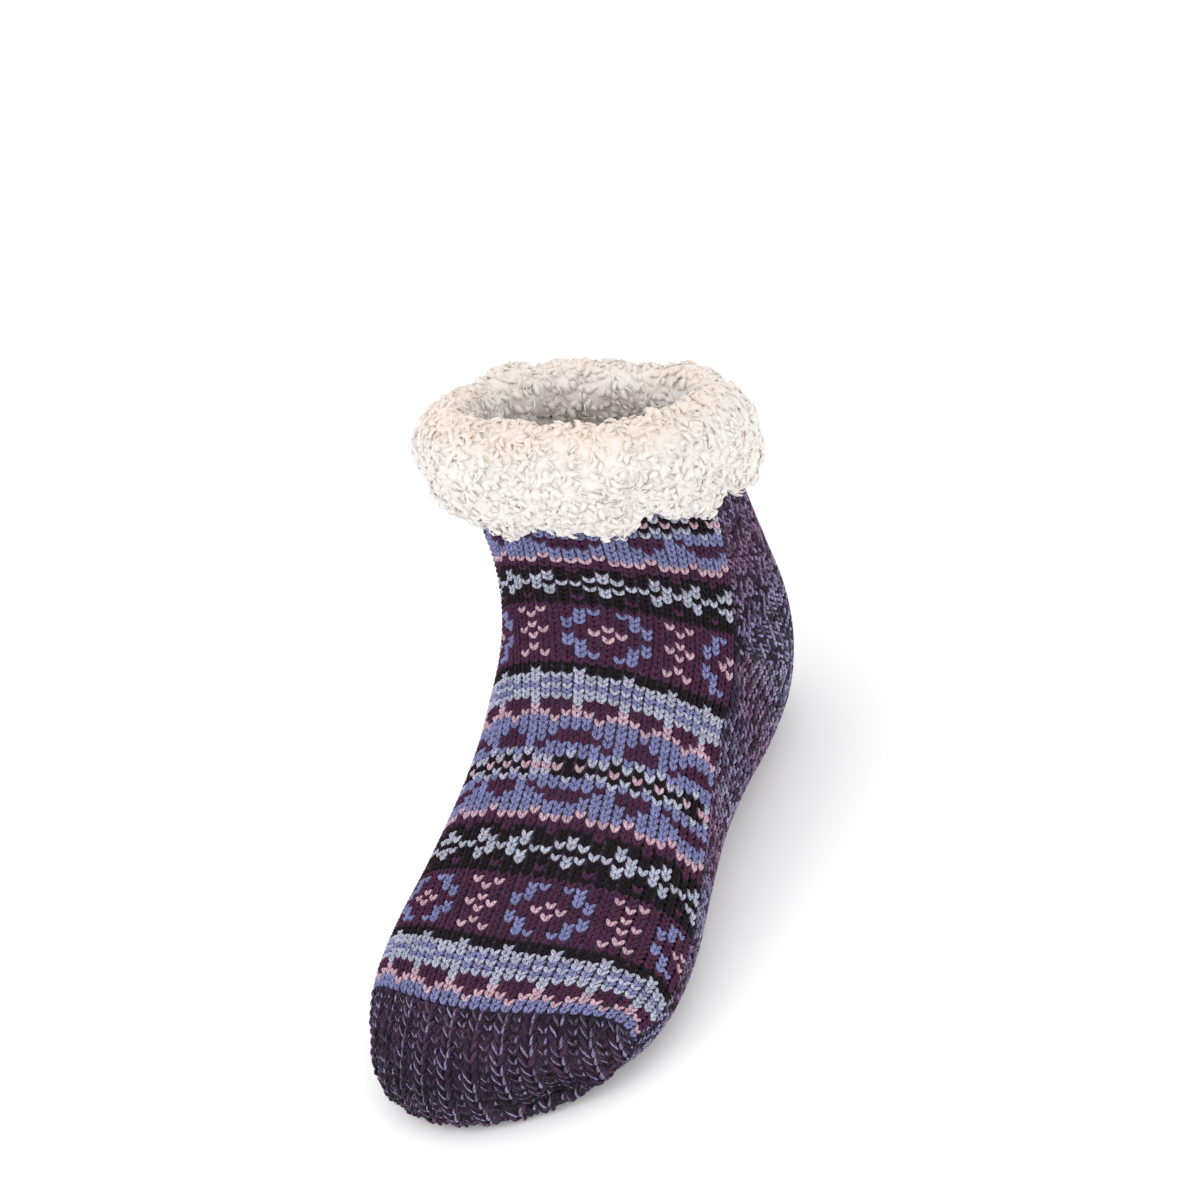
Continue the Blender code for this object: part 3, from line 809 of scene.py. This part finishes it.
def mend(thing, operator, **settings):
    """Runs an edit-mode operator on the whole of a piece."""
    select_only(thing)
    bpy.ops.object.mode_set(mode="EDIT")
    bpy.ops.mesh.select_all(action="SELECT")
    operator(**settings)
    bpy.ops.object.mode_set(mode="OBJECT")


def lumpy(thing, levels, lumps):
    """Subdivides a pile surface and raises lumps on it, given as (kind, size, height)."""
    select_only(thing)
    smooth = thing.modifiers.new("smooth", "SUBSURF")
    smooth.levels = smooth.render_levels = levels
    for kind, size, height in lumps:
        texture = bpy.data.textures.new(thing.name + kind, kind)
        texture.noise_scale = size
        swell = thing.modifiers.new(kind, "DISPLACE")
        swell.texture, swell.texture_coords = texture, "LOCAL"
        swell.strength, swell.mid_level = height, 0.5
    for modifier in list(thing.modifiers):
        bpy.ops.object.modifier_apply(modifier=modifier.name)


cuff = frame["nodes"]["cuff"].copy()
cuff.data = cuff.data.copy()
cuff.name, cuff.parent = "pile_cuff", None
for key in list(cuff.keys()):
    del cuff[key]
bpy.context.scene.collection.objects.link(cuff)
mend(cuff, bpy.ops.mesh.remove_doubles, threshold=1e-6)
lumpy(cuff, 2, (("VORONOI", 0.0070, -2.2 * MM), ("CLOUDS", 0.0030, 1.2 * MM)))
cuff.data.shade_smooth()
# Fleece colours: painted shade for the hollows of the bumps, the body, painted light for their
# tops, and the peach of the collar's edge.
SHADED_HOLLOW, BODY, LIT_TOP, PEACH = ((0.79, 0.74, 0.705), (0.815, 0.77, 0.735),
                             (0.84, 0.80, 0.77), (0.82, 0.73, 0.66))
fleece = pile_finish("curly_fleece", SHADED_HOLLOW, BODY, LIT_TOP, PEACH)
cuff.data.materials.clear()
cuff.data.materials.append(fleece)
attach(cuff, "root")
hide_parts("cuff")

# Lengths, side bows, heights and thicknesses of the curls, in millimetres.
CURLS = ((3.8, 0.9, 0.3, 1.20), (3.2, -1.1, 0.4, 1.40), (4.6, 0.6, 0.3, 1.05),
         (4.0, -1.3, 1.0, 0.40))
LOCKS = [strand(((0, 0, -0.4, 0.6 * thick, 0.3 * thick),
                 (0.4 * bow, 0.30 * far, lift, thick, 0.6 * thick),
                 (bow, 0.70 * far, lift, 0.9 * thick, 0.55 * thick),
                 (0.8 * bow, far, -0.2, 0.3 * thick, 0.2 * thick)), 5)
         for far, bow, lift, thick in CURLS]
# How much the curls differ in size, how strongly they hang, and how far down the surface may
# face that still bears them.
CURL_SIZES, CURL_FALL, FACES_DOWN = (0.8, 1.3), Vector((0, 0, -0.5)), -0.75
CUFF_MIDDLE = sum((Vector(corner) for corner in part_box("cuff")), Vector()) / 2


def locks(name, count, keep_test, seed):
    """Short soft locks strewn over the part of the cuff that the test keeps."""
    draw = np.random.default_rng(seed)
    mesh = cuff.data
    centre = np.zeros(len(mesh.polygons) * 3)
    mesh.polygons.foreach_get("center", centre)
    normal = np.zeros(len(mesh.polygons) * 3)
    mesh.polygons.foreach_get("normal", normal)
    area = np.zeros(len(mesh.polygons))
    mesh.polygons.foreach_get("area", area)
    centre, normal = centre.reshape(-1, 3), normal.reshape(-1, 3)
    area = area * keep_test(centre) * (normal[:, 2] > FACES_DOWN)
    pick = draw.choice(len(area), count, p=area / area.sum())
    placed = np.zeros((count, len(LOCKS[0][0]), 3))
    kinds = draw.integers(0, len(LOCKS), count)
    for i, (face, kind) in enumerate(zip(pick, kinds)):
        out = Vector(normal[face])
        fall = CURL_FALL + Vector(draw.standard_normal(3))
        along = (fall - fall.project(out)).normalized()
        basis = np.array([along.cross(out), along, out]) * MM * draw.uniform(*CURL_SIZES)
        placed[i] = centre[face] + LOCKS[kind][0] @ basis
    white = np.ones((count, 1, 3))
    joined(name, together(LOCKS[0]), placed, fleece, white, white)


locks("cuff_locks_front", 3100, lambda place: place[:, 1] < CUFF_MIDDLE.y, 21)
locks("cuff_locks_back", 2700, lambda place: place[:, 1] >= CUFF_MIDDLE.y, 22)

# The lining's first and last ring, from the collar to the toe, its rows and columns, and how
# deep inside the skin its two sides lie.
LINING_RINGS, LINING_ROWS, LINING_GIRTH = (16.6, 3.6), 48, 72
LINING_DEPTHS = (WALL + 0.3 * MM, WALL + 2.6 * MM)


def lining_mesh():
    """A closed tube inside the wall. Its sides face each other while lumps are raised on
    them, and are turned outwards after that."""
    grid = np.meshgrid(np.linspace(*LINING_RINGS, LINING_ROWS),
                       np.linspace(-1, 1, LINING_GIRTH + 1)[:-1], indexing="ij")
    place, normal = on_skin(*grid, SKIN), on_skin(*grid, NORMAL)
    points = np.concatenate([(place - depth * normal).reshape(-1, 3)
                             for depth in LINING_DEPTHS])
    outer = np.arange(LINING_ROWS * LINING_GIRTH).reshape(LINING_ROWS, LINING_GIRTH)
    inner = outer + outer.size
    turned, turned_inner = np.roll(outer, -1, axis=1), np.roll(inner, -1, axis=1)
    sheets = ((outer[:-1], turned[:-1], turned[1:], outer[1:]),
              (inner[:-1], inner[1:], turned_inner[1:], turned_inner[:-1]),
              (outer[0], turned[0], turned_inner[0], inner[0]),
              (inner[-1], turned_inner[-1], turned[-1], outer[-1]))
    faces = np.concatenate([np.stack(sheet, -1).reshape(-1, 4) for sheet in sheets])
    mesh = bpy.data.meshes.new("pile_lining")
    mesh.from_pydata(points.tolist(), [], faces.tolist())
    mesh.shade_smooth()
    return mesh


lining = bpy.data.objects.new("pile_lining", lining_mesh())
bpy.context.scene.collection.objects.link(lining)
lining.data.materials.append(fleece)
lumpy(lining, 1, (("VORONOI", 0.0060, -1.3 * MM),))
mend(lining, bpy.ops.mesh.normals_make_consistent, inside=False)
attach(lining, "root")

# Painted shade between the stitches, on the solids under them.

for node, deep, pale in (("instep_panel", (0.030, 0.020, 0.034), (0.110, 0.080, 0.140)),
                         ("sole_and_heel", (0.028, 0.020, 0.036), (0.085, 0.060, 0.110)),
                         ("toe_cap", (0.026, 0.016, 0.030), (0.075, 0.048, 0.085))):
    thing = frame["nodes"][node]
    thing.data.materials.clear()
    thing.data.materials.append(painted_shade_finish(node + "_backing", deep, pale))

# Floor, light and camera.

bpy.ops.mesh.primitive_plane_add(size=12)
floor = bpy.context.object
floor.name = "floor"
floor.data.transform(Matrix.Translation((0, 0, FLOOR_Z)))
# The floor glows a little: painted light that lifts the shadows on it and the sock's lower
# parts.
floor_finish = Finish("pale_floor", Base_Color=(0.97, 0.97, 0.97, 1), Roughness=0.9,
                      Specular_IOR_Level=0.1, Emission_Color=(1, 1, 1, 1),
                      Emission_Strength=0.12)
floor.data.materials.append(floor_finish.material)

world = bpy.data.worlds.new("studio")
world.use_nodes = True
world.node_tree.nodes["Background"].inputs["Color"].default_value = (1, 1, 1, 1)
world.node_tree.nodes["Background"].inputs["Strength"].default_value = 1.08
bpy.context.scene.world = world
scene = bpy.context.scene
scene.view_settings.view_transform = "Standard"


def lamp(name, energy, size, place, aim):
    light = bpy.data.lights.new(name, "AREA")
    light.energy, light.size, light.shape = energy, size, "DISK"
    thing = bpy.data.objects.new(name, light)
    thing.location = place
    thing.rotation_mode = "QUATERNION"
    thing.rotation_quaternion = (Vector(aim) - Vector(place)).to_track_quat("-Z", "Y")
    bpy.context.scene.collection.objects.link(thing)


lamp("key_softbox", 7, 1.6, (-0.7, -1.2, 1.5), (0, 0, 0.05))
lamp("fill_softbox", 3, 1.2, (1.6, -0.5, 0.9), (0, 0, 0.05))

AZIMUTH, ELEVATION, ROLL = math.radians(32), math.radians(36.8), math.radians(17.3)
PIXELS_PER_METRE, DISTANCE, SENSOR = 2870.0, 6.0, 36
# The picture's width, and where the point this high over the skin's middle lies in it.
PICTURE, ACROSS_PIXEL, DOWN_PIXEL, SIGHTED = 1200, 581, 812, Vector((0, 0, 40 * MM))
away = Vector((math.sin(AZIMUTH) * math.cos(ELEVATION),
               -math.cos(AZIMUTH) * math.cos(ELEVATION), math.sin(ELEVATION)))
level = Vector((math.cos(AZIMUTH), math.sin(AZIMUTH), 0))
upright = away.cross(level)
right = math.cos(ROLL) * level - math.sin(ROLL) * upright
above = math.sin(ROLL) * level + math.cos(ROLL) * upright
aim = (SIGHTED + Vector(SHIFT) + right * ((PICTURE / 2 - ACROSS_PIXEL) / PIXELS_PER_METRE)
       + above * ((DOWN_PIXEL - PICTURE / 2) / PIXELS_PER_METRE))
view = bpy.data.cameras.new("camera")
view.sensor_width = SENSOR
view.lens = SENSOR * DISTANCE / (PICTURE / PIXELS_PER_METRE)
view.clip_start, view.clip_end = 0.1, 50
camera = bpy.data.objects.new("camera", view)
camera.matrix_world = Matrix((
    (right.x, above.x, away.x, 0), (right.y, above.y, away.y, 0),
    (right.z, above.z, away.z, 0), (0, 0, 0, 1)))
camera.location = aim + away * DISTANCE
bpy.context.scene.collection.objects.link(camera)
scene.camera = camera
